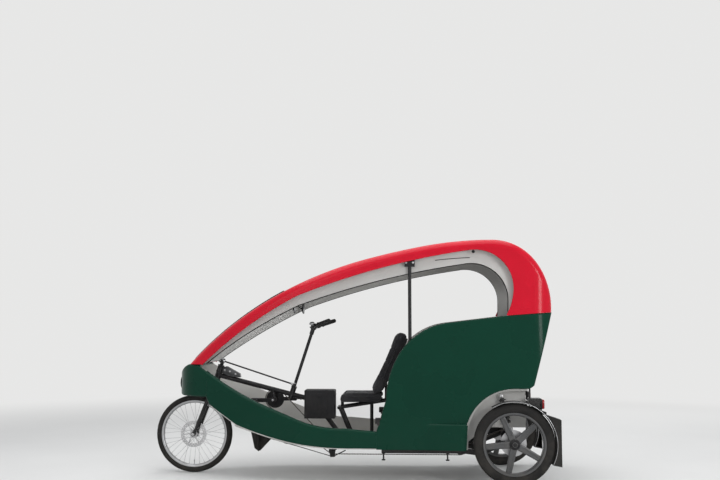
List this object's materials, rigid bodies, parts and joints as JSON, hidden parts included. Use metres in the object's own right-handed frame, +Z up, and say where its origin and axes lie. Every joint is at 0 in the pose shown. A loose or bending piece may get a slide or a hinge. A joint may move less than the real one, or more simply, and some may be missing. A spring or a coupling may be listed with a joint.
{
  "type": "cycle rickshaw",
  "caption": "Cycle rickshaw with a moulded cab and arched roof, rider seat behind the nose, passenger bench, steered spoked front wheel and cast rear wheels.",
  "frame": {"origin": "on the floor under the middle of the vehicle", "axes": "+X forwards, +Y to the vehicle's left, +Z up"},
  "size_m": [3.079, 1.1, 1.787],
  "materials": {
    "green_body": "smooth moulded dark green plastic",
    "red_shell": "glossy red moulded plastic",
    "light_plastic": "light warm grey moulded plastic",
    "clear_screen": "clear plastic screen",
    "smoked_screen": "smoked plastic window",
    "black_steel": "black powder-coated steel",
    "black_plastic": "black moulded plastic",
    "rubber": "black rubber",
    "tyre": "black tyre rubber",
    "silver_alloy": "silver anodised alloy",
    "grey_alloy": "mid grey painted cast alloy",
    "disc_steel": "ground steel brake disc",
    "seat_fabric": "black seat fabric",
    "bench_fabric": "dark grey bench cover",
    "lamp_red": "red lamp lens",
    "lamp_clear": "clear headlamp lens",
    "chain_steel": "oiled steel chain",
    "mirror_black": "black mirror housing"
  },
  "bodies": {
    "cab": {"battery_box": "black_plastic", "bench_back": "bench_fabric", "bench_box": "light_plastic", "bench_cushion": "bench_fabric", "chain": "chain_steel", "floor_pan": "light_plastic", "front_flap": "rubber", "headlamp": "lamp_clear", "lamp_brackets": "black_steel", "main_frame": "black_steel", "mirrors": "mirror_black", "mudflaps": "rubber", "nose_cowl": "green_body", "poles": "black_steel", "rear_axle": "black_steel", "rear_body": "green_body", "rear_calipers": "black_plastic", "rear_dampers": "black_steel", "rear_window": "smoked_screen", "rider_back": "seat_fabric", "rider_seat": "seat_fabric", "roof_liner": "light_plastic", "roof_shell": "red_shell", "seat_support": "black_steel", "side_panel_left": "green_body", "side_panel_right": "green_body", "tail_lamps": "lamp_red", "wheel_arches": "light_plastic", "windscreen": "clear_screen"},
    "fork": {"fork": "black_steel", "front_caliper": "black_plastic"},
    "front_wheel": {"front_tyre": "tyre", "front_rim": "silver_alloy", "front_disc": "disc_steel"},
    "rear_wheel_left": {"rear_tyre_left": "tyre", "rear_rim_left": "grey_alloy", "rear_disc_left": "disc_steel"},
    "rear_wheel_right": {"rear_tyre_right": "tyre", "rear_rim_right": "grey_alloy", "rear_disc_right": "disc_steel"},
    "handlebar": {"handlebar": "black_steel"},
    "steering_rod": {"steering_rod": "black_steel"},
    "crank": {"crank": "black_steel"},
    "pedal_left": {"pedal_left": "black_plastic"},
    "pedal_right": {"pedal_right": "black_plastic"}
  },
  "joints": [
    {"name": "steering", "type": "hinge", "parent": "cab", "child": "handlebar", "pos_m": [0.47, 0, 0.64], "axis": [-0.309, 0, 0.9511], "range_deg": [-35, 35]},
    {"name": "fork_turn", "type": "hinge", "parent": "cab", "child": "fork", "pos_m": [1.07941, 0, 0.71871], "axis": [-0.309, 0, 0.9511], "range_deg": [-35, 35]},
    {"name": "rod_swing", "type": "hinge", "parent": "handlebar", "child": "steering_rod", "pos_m": [0.45517, 0.05, 0.68565], "axis": [-0.309, 0, 0.9511], "range_deg": [-35, 35]},
    {"name": "front_wheel_spin", "type": "hinge", "parent": "fork", "child": "front_wheel", "pos_m": [1.247, 0, 0.3], "axis": [0, 1, 0], "continuous": true},
    {"name": "rear_left_spin", "type": "hinge", "parent": "cab", "child": "rear_wheel_left", "pos_m": [-1.199, 0.497, 0.295], "axis": [0, 1, 0], "continuous": true},
    {"name": "rear_right_spin", "type": "hinge", "parent": "cab", "child": "rear_wheel_right", "pos_m": [-1.199, -0.497, 0.295], "axis": [0, 1, 0], "continuous": true},
    {"name": "crank_turn", "type": "hinge", "parent": "cab", "child": "crank", "pos_m": [0.62, 0, 0.567], "axis": [0, 1, 0], "continuous": true},
    {"name": "pedal_left_spin", "type": "hinge", "parent": "crank", "child": "pedal_left", "pos_m": [0.78, 0.135, 0.567], "axis": [0, 1, 0], "continuous": true},
    {"name": "pedal_right_spin", "type": "hinge", "parent": "crank", "child": "pedal_right", "pos_m": [0.46, -0.135, 0.567], "axis": [0, 1, 0], "continuous": true}
  ],
  "couplings": [
    {"joint": "fork_turn", "follows": "steering", "ratio": 1},
    {"joint": "rod_swing", "follows": "steering", "ratio": -1}
  ]
}
